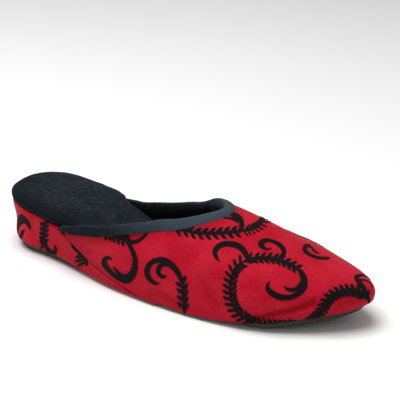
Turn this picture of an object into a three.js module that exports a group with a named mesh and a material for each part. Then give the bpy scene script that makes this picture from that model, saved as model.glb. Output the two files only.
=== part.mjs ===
// A backless wedge slipper, or mule, for the right foot: a closed vamp with a bound topline,
// a padded insole that shows at the heel, a fabric-covered wedge and a thin outsole.
// Millimetres, +Z up, toe towards +X, the outer (lateral) side towards -Y, the sole on Z = 0.
import * as THREE from "three";

// Driving sizes.
const lastLength = 248; // last's bottom, from the back of the heel to the tip of the toe
const ballWidth = 80; // breadth of the last's bottom across the ball
const heelWidth = 60; // breadth of the heel seat
const heelDepth = 33; // how far forward the round of the heel reaches
const toeDepth = 57; // how far back the round of the toe reaches
const toeShift = 13.1; // how far the toe's tip lies towards the inner side
const heelRise = 33.5; // heel seat's rim above the floor
const toeSpring = 9.6; // lift of the sole at the tip of the toe
const springCurve = 1.5; // how late that lift comes: 1 is a straight ramp
const instepHeight = 64; // height of the last above the floor at the instep point
const instepPoint = 128; // distance of the instep point from the back of the heel
const ridgeFall = 0.27; // fall of the ridge towards the toe, per mm, at the instep point
const sideBulge = 2.9; // how far the outer side leans out past the last's bottom edge
const innerBulge = 1.74; // the same on the inner side
const toeBulge = 0.6; // the same at the toe
const wall = 2.6; // upper: fabric, foam and lining together
const toeSquareness = 3; // of the toe's section: 2 is an even oval
const toeTuck = 10; // how far the toe's full shape is drawn in under it, to the bottom's edge
const throatFront = 29; // instep point to the topline at the front
const throatOuter = 29; // instep point to the topline on the outer side
const throatInner = 21.5; // instep point to the topline on the inner side
const throatRound = 1.5; // 2 is an even oval, less draws its front in
const outerEnd = 60; // rear end of the vamp on the outer side, from the back of the heel
const innerEnd = 62; // rear end of the vamp on the inner side
const endHeight = 2.2; // least height of the upper's wall, at its rear ends
const bindingDepth = 5.4; // how far the binding laps down each face of the wall
const bindingThick = 1.7; // thickness of the binding's padded cloth
const hemShare = 0.45; // share of that thickness left at the binding's turned edges
const rollUnder = 1.8; // how far the upper's edge hangs below the insole at the ball
const soleHeel = 3.4; // outsole under the wedge
const soleFore = 3.9; // outsole under the forefoot
const soleToe = 1.9; // outsole at the tip of the toe
const soleTuck = 3.8; // outsole's edge inside the last's bottom edge at the waist and ball
const soleToeTuck = 1.8; // the same at the toe
const wedgeFront = 132; // front edge of the wedge, from the back of the heel
const wedgeTuck = 6.5; // how far the wedge's bottom edge is tucked in at the heel
const soleInset = 0.4; // outsole's edge inside that one
const insoleHeel = 6.2; // padded insole at the heel seat
const insoleFore = 4.4; // padded insole under the forefoot
const insoleCrown = 1.6; // rise of the padding at its middle
const crownWidth = 0.3; // breadth, as a share of the heel's, below which that rise fades
const insoleDraw = 11; // over what distance the insole's edge draws in behind the vamp
const bindingRun = 27; // how far the binding lies against the insole's edge
const archPad = 3.5; // extra padding along the inner arch
const chamfer = 0.8; // at the outsole's lower edge
const gap = 0.3; // clearance between pieces that touch
const upperLift = 0.23; // the upper's foot above the surface it stands on
const bindingGap = 0.4; // the same between the upper's wall and its binding

// Footprint of the last's bottom: where along the length, and the outer and inner half widths
// as shares of the heel's or the ball's breadth.
const footprint = [
  { at: 0.0, of: heelWidth, outer: 0.49, inner: 0.497 },
  { at: 0.12, of: heelWidth, outer: 0.49, inner: 0.497 },
  { at: 0.283, of: ballWidth, outer: 0.429, inner: 0.351 },
  { at: 0.425, of: ballWidth, outer: 0.497, inner: 0.311 },
  { at: 0.547, of: ballWidth, outer: 0.514, inner: 0.355 },
  { at: 0.668, of: ballWidth, outer: 0.507, inner: 0.461 },
  { at: 0.789, of: ballWidth, outer: 0.471, inner: 0.482 },
  { at: 0.89, of: ballWidth, outer: 0.39, inner: 0.43 },
  { at: 1.0, of: ballWidth, outer: 0.32, inner: 0.35 },
];

// Rise of the last's bottom edge above the forefoot, as shares of the heel's rise.
const profile = [
  { at: 0.0, outer: 1.0, inner: 1.0 },
  { at: 0.06, outer: 0.972, inner: 0.975 },
  { at: 0.12, outer: 0.91, inner: 0.925 },
  { at: 0.182, outer: 0.824, inner: 0.875 },
  { at: 0.223, outer: 0.727, inner: 0.83 },
  { at: 0.263, outer: 0.575, inner: 0.75 },
  { at: 0.324, outer: 0.335, inner: 0.58 },
  { at: 0.364, outer: 0.222, inner: 0.45 },
  { at: 0.405, outer: 0.142, inner: 0.34 },
  { at: 0.445, outer: 0.08, inner: 0.235 },
  { at: 0.486, outer: 0.035, inner: 0.125 },
  { at: 0.534, outer: 0.0, inner: 0.0 },
  { at: 1.0, outer: 0.0, inner: 0.0 },
];

// Height of the last's ridge above the floor, as shares of the instep height.
const ridge = [
  { at: 0.235, height: 1.38 },
  { at: 0.304, height: 1.28 },
  { at: 0.425, height: 1.095 },
  { at: 0.518, height: 1.0 },
  { at: 0.6, height: 0.905 },
  { at: 0.645, height: 0.865 },
  { at: 0.746, height: 0.748 },
  { at: 0.847, height: 0.602 },
  { at: 0.927, height: 0.5 },
  { at: 1.0, height: 0.39 },
];

// Height of the topline above the last's bottom edge from the vamp's rear end (0) to the instep
// point (1), as shares of its height at the instep point.
const topline = [
  { at: 0.0, outer: 0.08, inner: 0.05 },
  { at: 0.22, outer: 0.36, inner: 0.15 },
  { at: 0.44, outer: 0.56, inner: 0.385 },
  { at: 0.66, outer: 0.755, inner: 0.61 },
  { at: 0.84, outer: 0.885, inner: 0.82 },
  { at: 1.0, outer: 1.0, inner: 1.0 },
];

// Side of the covered wedge, from its bottom edge (0) to the rim (1): how far it is tucked in,
// as shares of the tuck at the heel.
const wedgeSide = [
  { at: 0.0, tuck: 1.0 },
  { at: 0.07, tuck: 0.64 },
  { at: 0.19, tuck: 0.46 },
  { at: 0.38, tuck: 0.54 },
  { at: 0.52, tuck: 0.5 },
  { at: 0.68, tuck: 0.28 },
  { at: 0.84, tuck: 0.06 },
  { at: 1.0, tuck: 0.0 },
];

// Edge of the padded insole: its height and its inset, as shares of the insole's thickness.
const padEdge = [
  { height: 0.0, inset: 0.08 },
  { height: 0.26, inset: -0.12 },
  { height: 0.58, inset: -0.1 },
  { height: 0.86, inset: 0.12 },
  { height: 1.0, inset: 0.56 },
];

// Where a form starts and ends along the shoe, as shares of its length.
const along = {
  toeShift: { from: 0.6, to: 1.0 },
  toeSpring: { from: 0.68, to: 1.0 },
  insoleThins: { from: 0.2, to: 0.55 },
  archRises: { from: 0.12, to: 0.3 },
  archFalls: { from: 0.42, to: 0.62 },
  waist: { from: 0.1, to: 0.5 },
  toeOfSole: { from: 0.7, to: 0.92 },
  soleThins: { from: 0.7, to: 0.96 },
  rollStarts: { from: 0.54, to: 0.6 },
  rollEnds: { from: 0.62, to: 0.74 },
};

// Where the round of the toe takes over from the last's section, as shares of the way out from
// the instep point to the rim.
const toeRound = { from: 0.6, to: 0.92 };

// How finely each piece is divided.
const ribSteps = 90; // steps up a rib before it is cut to length
const sideRibs = 14; // ribs along each side of the vamp
const toeRibs = 34; // steps round the front of the vamp
const pointCount = 14; // points up each rib of the vamp
const crowding = 1.25; // 1 spaces those points evenly, more crowds them at the foot
const insoleStations = 48;
const turnStep = 0.004; // half the span, in radians, over which an edge's heading is taken
const wedgeStations = 31;
const soleStations = 43;
const padMiddle = [0.2, 0.4, 0.6, 0.8]; // shares of the breadth, between the edges
const wedgeMiddle = [0.25, 0.5, 0.75];
const soleMiddle = [0.33, 0.67];

const { clamp, lerp, smoothstep } = THREE.MathUtils;

// A smooth curve through a table's rows that doesn't overshoot between them.
function through(rows, value) {
  const x = rows.map((row) => row.at);
  const y = rows.map(value);
  const secant = x.slice(1).map((next, i) => (y[i + 1] - y[i]) / (next - x[i]));
  const slope = x.map((_, i) => {
    const before = secant[Math.max(i - 1, 0)];
    const after = secant[Math.min(i, secant.length - 1)];
    return before * after <= 0 ? 0 : (2 * before * after) / (before + after);
  });
  return (at) => {
    const t = clamp(at, x[0], x[x.length - 1]);
    let i = 0;
    while (i < x.length - 2 && t > x[i + 1]) i++;
    const span = x[i + 1] - x[i];
    const s = (t - x[i]) / span;
    const rise = y[i + 1] - y[i];
    const bend = span * (slope[i] * s * (1 - s) ** 2 - slope[i + 1] * s * s * (1 - s));
    return y[i] + rise * (3 - 2 * s) * s * s + bend;
  };
}

// How far x has come through one of those stretches, from 0 to 1, evenly or eased at its ends.
function evenly(x, { from, to }) {
  return clamp((x / lastLength - from) / (to - from), 0, 1);
}

function eased(x, { from, to }) {
  return smoothstep(x / lastLength, from, to);
}

const outerHalf = through(footprint, (row) => row.of * row.outer);
const innerHalf = through(footprint, (row) => row.of * row.inner);
const outerRise = through(profile, (row) => row.outer);
const innerRise = through(profile, (row) => row.inner);
const ridgeHeight = through(ridge, (row) => row.height * instepHeight);
const outerTopline = through(topline, (row) => row.outer);
const innerTopline = through(topline, (row) => row.inner);
const tuckAt = through(wedgeSide, (row) => row.tuck);

// Half circle ends of the footprint at the heel and at the toe.
function roundOff(x) {
  const heel = clamp(1 - x / heelDepth, 0, 1);
  const toe = clamp((x - lastLength + toeDepth) / toeDepth, 0, 1);
  return Math.sqrt(1 - heel * heel) * Math.sqrt(1 - toe * toe);
}

// The footprint's edge at x: side is -1 on the outer side and 1 on the inner side.
function edgeAt(x, side) {
  const forward = evenly(x, along.toeShift);
  const half = side < 0 ? outerHalf(x / lastLength) : innerHalf(x / lastLength);
  return toeShift * forward * forward + side * half * roundOff(x);
}

// The footprint's edge moved inwards by inset. share runs from the heel (0) to the toe (1).
function outline(share, side, inset, to = lastLength) {
  const turn = share * Math.acos(1 - (2 * to) / lastLength);
  const x = (lastLength * (1 - Math.cos(turn))) / 2;
  const at = (angle) => {
    const px = (lastLength * (1 - Math.cos(angle))) / 2;
    return new THREE.Vector2(px, edgeAt(px, side));
  };
  const before = at(Math.max(turn - turnStep, 0));
  const after = at(Math.min(turn + turnStep, Math.PI));
  const heading = after.sub(before).normalize();
  const point = new THREE.Vector2(x, edgeAt(x, side));
  if (turn < turnStep) return point.add(new THREE.Vector2(inset, 0));
  if (turn > Math.PI - turnStep) return point.sub(new THREE.Vector2(inset, 0));
  return point.add(new THREE.Vector2(heading.y, -heading.x).multiplyScalar(inset * side));
}

// Lift of the sole towards the toe.
function spring(x) {
  return toeSpring * evenly(x, along.toeSpring) ** springCurve;
}

// Height of the last's bottom at any place: the surface that parts the insole and the upper
// above from the wedge and the outsole below.
function bottomAt(x, y) {
  const span = heelRise - soleFore;
  const outer = outerRise(x / lastLength) * span;
  const inner = innerRise(x / lastLength) * span;
  const low = edgeAt(clamp(x, 1, lastLength - 1), -1);
  const high = edgeAt(clamp(x, 1, lastLength - 1), 1);
  const across = clamp((y - low) / (high - low), 0, 1);
  return soleFore + gap / 2 + lerp(outer, inner, across) + spring(x);
}

// Builds one closed solid from a row of ribs. Each rib has a path over the piece and a path
// under it, with the same number of points. Paths that meet at an end close it there.
function solidFrom(ribs) {
  const points = [];
  const index = new Map();
  const number = (p) => {
    const key = [p.x, p.y, p.z].map((v) => Math.round(v * 500)).join();
    if (!index.has(key)) {
      index.set(key, points.length / 3);
      points.push(p.x, p.y, p.z);
    }
    return index.get(key);
  };
  const faces = [];
  const triangle = (a, b, c) => {
    const [i, j, k] = [number(a), number(b), number(c)];
    if (i !== j && j !== k && k !== i) faces.push(i, j, k);
  };
  const quad = (a, b, c, d) => {
    triangle(a, b, c);
    triangle(a, c, d);
  };
  const rings = ribs.map((rib) => [...rib.over, ...[...rib.under].reverse()]);
  for (let i = 0; i + 1 < rings.length; i++)
    for (let j = 0; j < rings[i].length; j++) {
      const next = (j + 1) % rings[i].length;
      quad(rings[i][j], rings[i][next], rings[i + 1][next], rings[i + 1][j]);
    }
  for (const [rib, first] of [[ribs[0], true], [ribs[ribs.length - 1], false]])
    for (let j = 0; j + 1 < rib.over.length; j++) {
      const cap = [rib.over[j], rib.under[j], rib.under[j + 1], rib.over[j + 1]];
      quad(...(first ? cap : cap.reverse()));
    }
  const geometry = new THREE.BufferGeometry();
  geometry.setAttribute("position", new THREE.Float32BufferAttribute(points, 3));
  let volume = 0;
  const corner = (i) => new THREE.Vector3().fromArray(points, faces[i] * 3);
  for (let i = 0; i < faces.length; i += 3)
    volume += corner(i).dot(corner(i + 1).cross(corner(i + 2)));
  geometry.setIndex(volume < 0 ? faces.reverse() : faces);
  geometry.computeVertexNormals();
  return geometry;
}

// One rib of the last: a quarter of an oval that climbs from its foot on the bottom edge to the
// ridge, and leans out low down.
function ribOf(foot, crown, { fall = 0, squareness = 2, bulge = 0, tuck = 0 }) {
  const out = new THREE.Vector2(foot.x - crown.x, foot.y - crown.y);
  const reach = out.length() + tuck;
  out.normalize();
  const lifted = crown.z - fall * reach;
  const path = [];
  for (let i = 0; i <= ribSteps; i++) {
    const turn = (i / ribSteps) * (Math.PI / 2);
    const c = Math.max(Math.cos(turn), 0) ** (2 / squareness);
    const s = Math.sin(turn) ** (2 / squareness);
    const from = reach * c + bulge * Math.sin(2 * turn) - tuck * (1 - s) ** 2;
    const z = foot.z * (1 - s) + lifted * s + (crown.z - lifted) * (1 - c);
    path.push(new THREE.Vector3(crown.x + out.x * from, crown.y + out.y * from, z));
  }
  return path;
}

// The path up to where it first passes the stated height or comes within the stated radius.
function cutPath(path, passed) {
  const kept = [path[0]];
  for (let i = 1; i < path.length; i++) {
    const before = passed(path[i - 1]);
    const after = passed(path[i]);
    if (after >= 0) {
      kept.push(path[i - 1].clone().lerp(path[i], before / (before - after)));
      return kept;
    }
    kept.push(path[i]);
  }
  return kept;
}

// Points spaced along a path, closer together at its start.
function spaced(path, count, crowding) {
  const sums = [0];
  for (let i = 1; i < path.length; i++) sums.push(sums[i - 1] + path[i].distanceTo(path[i - 1]));
  const total = sums[sums.length - 1];
  const points = [];
  for (let k = 0; k < count; k++) {
    const want = total * (k / (count - 1)) ** crowding;
    let i = 1;
    while (i < path.length - 1 && sums[i] < want) i++;
    const share = (want - sums[i - 1]) / Math.max(sums[i] - sums[i - 1], 1e-9);
    points.push(path[i - 1].clone().lerp(path[i], share));
  }
  return points;
}

// The topline in front of the instep point: its distance from that point, in any direction.
function throatAt(way) {
  const across = Math.abs(way.y) / (way.y < 0 ? throatOuter : throatInner);
  const ahead = Math.max(way.x, 0) / throatFront;
  return (ahead ** throatRound + across ** throatRound) ** (-1 / throatRound);
}

// How far the vamp's side leans out, on the outer and the inner side.
const bulgeOf = (side) => (side < 0 ? sideBulge : innerBulge);

// Height of the last at any place in plan: an oval across its breadth, with its top on the
// ridge, which runs straight from the instep point to the toe's tip.
function lastHeight(x, y) {
  const middle = (toeShift * (x - instepPoint)) / (lastLength - instepPoint);
  const side = y < middle ? -1 : 1;
  const half = Math.abs(edgeAt(Math.min(x, lastLength - 0.5), side) - middle);
  let low = 0.15; // radians: the section's widest place is above this
  let high = Math.PI / 2;
  for (let halvings = 0; halvings < 24; halvings++) {
    const turn = (low + high) / 2;
    const reach = half * Math.cos(turn) + bulgeOf(side) * Math.sin(2 * turn);
    if (reach > Math.abs(y - middle)) low = turn;
    else high = turn;
  }
  return lerp(bottomAt(x, y), ridgeHeight(x / lastLength), Math.sin(low));
}

// The rib in front of the instep point that stands on the foot, up to the topline. Low down it
// follows the full round of the toe, and further up the last's own height.
function frontRib(foot, toeWay) {
  const crown = new THREE.Vector3(instepPoint, 0, instepHeight);
  const way = new THREE.Vector2(foot.x - instepPoint, foot.y).normalize();
  const front = Math.max(way.dot(toeWay), 0);
  const tuck = toeTuck * front ** 4;
  const path = ribOf(foot, crown, {
    fall: ridgeFall * front,
    squareness: lerp(2, toeSquareness, front ** 4),
    bulge: lerp(bulgeOf(foot.y), toeBulge, front),
    tuck,
  });
  const reach = Math.hypot(foot.x - instepPoint, foot.y) + tuck;
  path.forEach((p) => {
    const share = Math.hypot(p.x - instepPoint, p.y) / reach;
    p.z = lerp(lastHeight(p.x, p.y), p.z, smoothstep(share, toeRound.from, toeRound.to));
  });
  return cutPath(path, (p) => throatAt(way) - Math.hypot(p.x - instepPoint, p.y));
}

// The last's bottom edge, at the height the upper stands on.
function footAt(x, side) {
  const y = edgeAt(x, side);
  return new THREE.Vector3(x, y, bottomAt(x, y) + upperLift);
}

// The ribs of the vamp, from its rear end on the outer side round the toe to the inner side.
function vampRibs() {
  const tip = outline(1, 1, 0);
  const toeWay = new THREE.Vector2(tip.x - instepPoint, tip.y).normalize();
  const feet = [];
  for (const side of [-1, 1]) {
    const end = side < 0 ? outerEnd : innerEnd;
    const row = [];
    for (let i = 0; i < sideRibs; i++) row.push({ x: lerp(end, instepPoint, i / sideRibs), side, end });
    for (let i = 0; i < toeRibs / 2; i++) {
      const turn = (i / (toeRibs / 2)) * (Math.PI / 2);
      row.push({ x: lerp(instepPoint, lastLength, Math.sin(turn)), side, end });
    }
    if (side < 0) feet.push(...row, { x: lastLength, side, end });
    else feet.push(...row.reverse());
  }
  // Height of the topline over the bottom edge at the instep point, on each side.
  const [outerHeight, innerHeight] = [-1, 1].map((side) => {
    const foot = footAt(instepPoint, side);
    return frontRib(foot, toeWay).pop().z - foot.z;
  });
  return feet.map(({ x, side, end }) => {
    const foot = footAt(x, side);
    if (x >= instepPoint) return frontRib(foot, toeWay);
    const crown = new THREE.Vector3(x, 0, ridgeHeight(x / lastLength));
    const share = (x - end) / (instepPoint - end);
    const rise = side < 0 ? outerTopline(share) * outerHeight : innerTopline(share) * innerHeight;
    const height = Math.max(rise, endHeight);
    const path = ribOf(foot, crown, { bulge: bulgeOf(side) });
    return cutPath(path, (p) => p.z - foot.z - height);
  });
}

// The wall's outer face as rows of points with their outward normals.
function wallGrid() {
  const rows = vampRibs().map((path) => ({ points: spaced(path, pointCount, crowding) }));
  rows.forEach((row, i) => {
    const before = rows[Math.max(i - 1, 0)].points;
    const after = rows[Math.min(i + 1, rows.length - 1)].points;
    row.normals = row.points.map((_, j) => {
      const across = after[j].clone().sub(before[j]);
      const up = row.points[Math.min(j + 1, pointCount - 1)].clone();
      up.sub(row.points[Math.max(j - 1, 0)]);
      return across.cross(up).normalize();
    });
    row.depths = row.points.map(() => 0);
    for (let j = pointCount - 2; j >= 0; j--)
      row.depths[j] = row.depths[j + 1] + row.points[j].distanceTo(row.points[j + 1]);
  });
  return rows;
}

// A place on the wall of one rib: depth below the topline's edge, and offset out of its face.
function onWall(row, depth, offset) {
  const last = pointCount - 1;
  let i = last - 1;
  while (i > 0 && row.depths[i] < depth) i--;
  const step = row.depths[i] - row.depths[i + 1];
  const share = clamp((row.depths[i] - depth) / step, 0, 1);
  const point = row.points[i].clone().lerp(row.points[i + 1], share);
  const normal = row.normals[i].clone().lerp(row.normals[i + 1], share).normalize();
  if (depth < 0) {
    const up = row.points[last].clone().sub(row.points[last - 1]).normalize();
    point.addScaledVector(up, -depth);
  }
  return point.addScaledVector(normal, offset);
}

// The upper's lower edge, which rolls down beside the outsole at the ball.
function rolledUnder(p) {
  const share = eased(p.x, along.rollStarts) * (1 - eased(p.x, along.rollEnds));
  return p.clone().setZ(p.z - rollUnder * share);
}

function upper(rows) {
  return solidFrom(
    rows.map((row) => ({
      over: [rolledUnder(row.points[0]), ...row.points.slice(1)],
      under: row.points.map((point, j) => {
        const inner = point.clone().addScaledVector(row.normals[j], -wall);
        if (j > 0) return inner;
        const level = row.normals[0].clone().setZ(0).normalize();
        inner.copy(point).addScaledVector(level, -wall);
        return inner.setZ(Math.max(point.z, bottomAt(inner.x, inner.y) + gap / 2));
      }),
    })),
  );
}

// The binding: padded cloth folded over the wall's edge, with a round crown.
function binding(rows) {
  const crownPoints = 4;
  const radius = wall / 2 + bindingGap + bindingThick;
  return solidFrom(
    rows.map((row) => {
      const depth = Math.min(bindingDepth, row.depths[0] - 2 * bindingGap);
      const leg = [1, 0.5, 0].map((share) => share * depth);
      const over = [];
      const under = [];
      leg.forEach((d, i) => {
        over.push(onWall(row, d, bindingGap + bindingThick * (i ? 1 : hemShare)));
        under.push(onWall(row, d, bindingGap));
      });
      for (let k = 1; k <= crownPoints; k++) {
        const turn = (Math.PI * k) / (crownPoints + 1);
        const across = lerp(bindingGap, -wall - bindingGap, k / (crownPoints + 1));
        over.push(onWall(row, -radius * Math.sin(turn), radius * Math.cos(turn) - wall / 2));
        under.push(onWall(row, -bindingGap, across));
      }
      [...leg].reverse().forEach((d, i) => {
        const foot = i === leg.length - 1 ? hemShare : 1;
        over.push(onWall(row, d, -wall - bindingGap - bindingThick * foot));
        under.push(onWall(row, d, -wall - bindingGap));
      });
      return { over, under };
    }),
  );
}

// How far the insole's edge lies inside the footprint: flush at the heel seat, and inside the
// upper's wall, and the binding where that comes down to it, further forward.
function insoleInset(x) {
  const end = Math.min(outerEnd, innerEnd);
  const lap = -Math.min(...padEdge.map((row) => row.inset));
  const behindWall = wall + 2 * gap + lap * insoleFore;
  const behindBinding = wall + bindingGap + bindingThick + gap + lap * insoleHeel;
  const past = smoothstep(x, end + bindingRun - insoleDraw, end + bindingRun + insoleDraw);
  return lerp(behindBinding, behindWall, past) * smoothstep(x, end - insoleDraw, end - 2 * bindingThick);
}

function insole() {
  const ribs = [];
  for (let i = 0; i <= insoleStations; i++) {
    const share = i / insoleStations;
    const ends = [-1, 1].map((side) => {
      const x = outline(share, side, 0).x;
      const thick = lerp(insoleHeel, insoleFore, eased(x, along.insoleThins));
      return padEdge.map((row) => {
        const inset = insoleInset(x) + row.inset * thick;
        const p = outline(share, side, inset);
        return new THREE.Vector3(p.x, p.y, bottomAt(p.x, p.y) + gap / 2 + row.height * thick);
      });
    });
    const [outer, inner] = ends;
    const from = outer[outer.length - 1];
    const to = inner[inner.length - 1];
    const pad = archPad * eased(from.x, along.archRises) * (1 - eased(from.x, along.archFalls));
    const width = Math.min(Math.abs(to.y - from.y) / (crownWidth * heelWidth), 1);
    const middle = [];
    for (const t of padMiddle) {
      const crown = insoleCrown * width * 4 * t * (1 - t);
      const p = from.clone().lerp(to, t);
      p.z = lerp(from.z, to.z, t) + crown + pad * t * t * t;
      middle.push(p);
    }
    const lift = (points) => points.map((p, k) => p.setZ(p.z + (pad * k) / (points.length - 1)));
    const over = [...outer, ...middle, ...lift(inner).reverse()];
    const left = outer[0];
    const right = inner[0];
    const under = over.map((_, k) => {
      const p = left.clone().lerp(right, k / (over.length - 1));
      return p.setZ(bottomAt(p.x, p.y) + gap / 2);
    });
    ribs.push({ over, under });
  }
  return solidFrom(ribs);
}

function wedge() {
  const base = soleHeel + gap;
  const ribs = [];
  for (let i = 0; i <= wedgeStations; i++) {
    const share = i / wedgeStations;
    const sides = [-1, 1].map((side) =>
      wedgeSide.map((row) => {
        const rim = outline(share, side, 0, wedgeFront);
        const high = bottomAt(rim.x, rim.y) - gap / 2 - base;
        const tuck = wedgeTuck * tuckAt(row.at) * clamp(high / (heelRise - base), 0, 1);
        const p = outline(share, side, tuck, wedgeFront);
        const front = i === wedgeStations ? wedgeFront : p.x;
        return new THREE.Vector3(front, p.y, base + row.at * high);
      }),
    );
    const [outer, inner] = sides;
    const from = outer[outer.length - 1];
    const to = inner[inner.length - 1];
    const middle = wedgeMiddle.map((t) => {
      const p = from.clone().lerp(to, t);
      return p.setZ(bottomAt(p.x, p.y) - gap / 2);
    });
    const over = [...outer, ...middle, ...inner.slice().reverse()];
    const under = over.map((_, k) => outer[0].clone().lerp(inner[0], k / (over.length - 1)));
    ribs.push({ over, under });
  }
  return solidFrom(ribs);
}

// Top of the outsole: a shallow seat under the wedge, then the forefoot and the toe spring.
function soleTop(x) {
  return x < wedgeFront + 2 * gap ? soleHeel : soleFore + spring(x);
}

// Underside of the outsole, which thins towards the toe.
function soleUnder(x) {
  return spring(x) + (soleFore - soleToe) * eased(x, along.soleThins);
}

function outsole() {
  const shares = [];
  for (let i = 0; i <= soleStations; i++) shares.push(i / soleStations);
  const stepAt = (x) => Math.acos(1 - (2 * x) / lastLength) / Math.PI;
  const wedgeEnd = wedgeFront + gap;
  shares.push(stepAt(wedgeEnd), stepAt(wedgeEnd + 2 * gap));
  shares.sort((a, b) => a - b);
  const ribs = shares.map((share) => {
    const x = outline(share, 1, 0).x;
    const back = lerp(wedgeTuck + soleInset, soleTuck, eased(x, along.waist));
    const inset = lerp(back, soleToeTuck, eased(x, along.toeOfSole));
    const ends = [-1, 1].map((side) => {
      const low = outline(share, side, inset + chamfer);
      const edge = outline(share, side, inset);
      if (x > heelDepth && x < lastLength - toeDepth) low.x = edge.x = x;
      return [
        new THREE.Vector3(low.x, low.y, soleUnder(low.x)),
        new THREE.Vector3(edge.x, edge.y, soleUnder(edge.x) + chamfer),
        new THREE.Vector3(edge.x, edge.y, soleTop(edge.x)),
      ];
    });
    const [outer, inner] = ends;
    const middle = soleMiddle.map((t) => {
      const p = outer[2].clone().lerp(inner[2], t);
      return p.setZ(soleTop(p.x));
    });
    const over = [...outer, ...middle, ...inner.slice().reverse()];
    const under = over.map((_, k) => {
      const p = outer[0].clone().lerp(inner[0], k / (over.length - 1));
      return p.setZ(soleUnder(p.x));
    });
    return { over, under };
  });
  return solidFrom(ribs);
}

function cloth(color) {
  return new THREE.MeshStandardMaterial({ color, roughness: 0.85, metalness: 0 });
}

const redCloth = cloth(0xb3182b);
const darkVelour = cloth(0x1c222b);
const blackRubber = new THREE.MeshStandardMaterial({ color: 0x22231f, roughness: 0.6 });

function piece(name, geometry, material) {
  const mesh = new THREE.Mesh(geometry, material);
  mesh.name = name;
  return mesh;
}

const rows = wallGrid();
const mule = new THREE.Group();
mule.add(
  piece("outsole", outsole(), blackRubber),
  piece("wedge", wedge(), redCloth),
  piece("insole", insole(), darkVelour),
  piece("upper", upper(rows), redCloth),
  piece("topline_binding", binding(rows), darkVelour),
);

// The origin is on the floor, under the middle of the shoe's bounding box.
const box = new THREE.Box3().setFromObject(mule);
const centre = box.getCenter(new THREE.Vector3());
mule.position.set(-centre.x, -centre.y, -box.min.z);

export default mule;
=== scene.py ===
import math

import bpy
import numpy as np
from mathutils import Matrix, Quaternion, Vector
from mathutils.bvhtree import BVHTree
from mathutils.kdtree import KDTree


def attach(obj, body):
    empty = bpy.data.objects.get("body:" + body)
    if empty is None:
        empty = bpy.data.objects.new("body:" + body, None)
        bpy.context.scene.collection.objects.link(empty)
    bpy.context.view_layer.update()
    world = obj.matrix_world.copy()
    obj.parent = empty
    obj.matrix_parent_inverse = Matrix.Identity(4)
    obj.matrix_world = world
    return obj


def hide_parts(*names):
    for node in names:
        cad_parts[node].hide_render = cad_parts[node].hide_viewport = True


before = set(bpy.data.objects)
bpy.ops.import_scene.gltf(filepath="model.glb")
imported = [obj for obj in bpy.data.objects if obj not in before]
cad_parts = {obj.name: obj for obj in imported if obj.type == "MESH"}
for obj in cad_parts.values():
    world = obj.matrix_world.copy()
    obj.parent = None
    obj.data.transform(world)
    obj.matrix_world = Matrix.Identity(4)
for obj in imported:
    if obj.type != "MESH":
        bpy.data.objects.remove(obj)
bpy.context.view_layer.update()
scene = bpy.context.scene
print("stage: solids loaded,", ", ".join(sorted(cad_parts)))

# the camera, found from the photograph's outlines

shot = {
    "aim": Vector((0.00463, 0.01387, 0.05058)),
    "azimuth": 30.3,      # degrees round from the outer side, towards the toe
    "elevation": 22.3,
    "roll": 2.8,
    "distance": 0.7421,
    "lens": 106.56,
    "sensor": 36.0,
    "pixels": 400,        # breadth and height of the photograph
}


def wayTo(azimuth, elevation):
    a, e = math.radians(azimuth), math.radians(elevation)
    return Vector((math.sin(a) * math.cos(e), -math.cos(a) * math.cos(e), math.sin(e)))


shotWay = wayTo(shot["azimuth"], shot["elevation"])
shotTurn = (-shotWay).to_track_quat("-Z", "Y") @ Quaternion((0, 0, 1), math.radians(shot["roll"]))
shotPlace = shot["aim"] + shotWay * shot["distance"]
bpy.ops.object.camera_add(location=shotPlace, rotation=shotTurn.to_euler())
camera = bpy.context.object
camera.data.lens = shot["lens"]
camera.data.sensor_width = shot["sensor"]
camera.data.clip_end = 20
scene.camera = camera
scene.view_settings.view_transform = "Standard"
print("stage: camera set")

# helpers for modelling

meshPlan = {
    "weld": 0.00002,      # points nearer than this are one
    "bentTo": 50,         # degrees: two triangles that are more bent or more skewed stay apart
    "skewedTo": 70,
    "chartGap": 0.002,
    "levels": 2,          # of subdivision
    "smoothTo": 55,       # degrees: a sharper edge stays sharp
}


def pick(*pieces):
    bpy.ops.object.select_all(action="DESELECT")
    for piece in pieces:
        piece.select_set(True)
    bpy.context.view_layer.objects.active = pieces[0]


def copyOf(node, name, sharp, hold):
    # a merged, four-sided copy of a solid; hold creases its edges that are sharper than sharp
    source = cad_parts[node]
    piece = source.copy()
    piece.data = source.data.copy()
    piece.name = piece.data.name = name
    piece.parent = None
    for key in list(piece.keys()):
        del piece[key]
    scene.collection.objects.link(piece)
    piece.data.materials.clear()
    pick(piece)
    bpy.ops.mesh.customdata_custom_splitnormals_clear()
    bpy.ops.object.mode_set(mode="EDIT")
    bpy.ops.mesh.select_all(action="SELECT")
    bpy.ops.mesh.remove_doubles(threshold=meshPlan["weld"])
    bent, skewed = math.radians(meshPlan["bentTo"]), math.radians(meshPlan["skewedTo"])
    bpy.ops.mesh.tris_convert_to_quads(face_threshold=bent, shape_threshold=skewed)
    bpy.ops.mesh.select_all(action="DESELECT")
    bpy.ops.mesh.select_mode(type="EDGE")
    bpy.ops.mesh.edges_select_sharp(sharpness=math.radians(sharp))
    bpy.ops.mesh.mark_seam()
    bpy.ops.transform.edge_crease(value=hold)
    bpy.ops.mesh.select_all(action="SELECT")
    bpy.ops.uv.unwrap(method="ANGLE_BASED", margin=meshPlan["chartGap"])
    bpy.ops.object.mode_set(mode="OBJECT")
    trueSizeUv(piece)
    return piece


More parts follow.
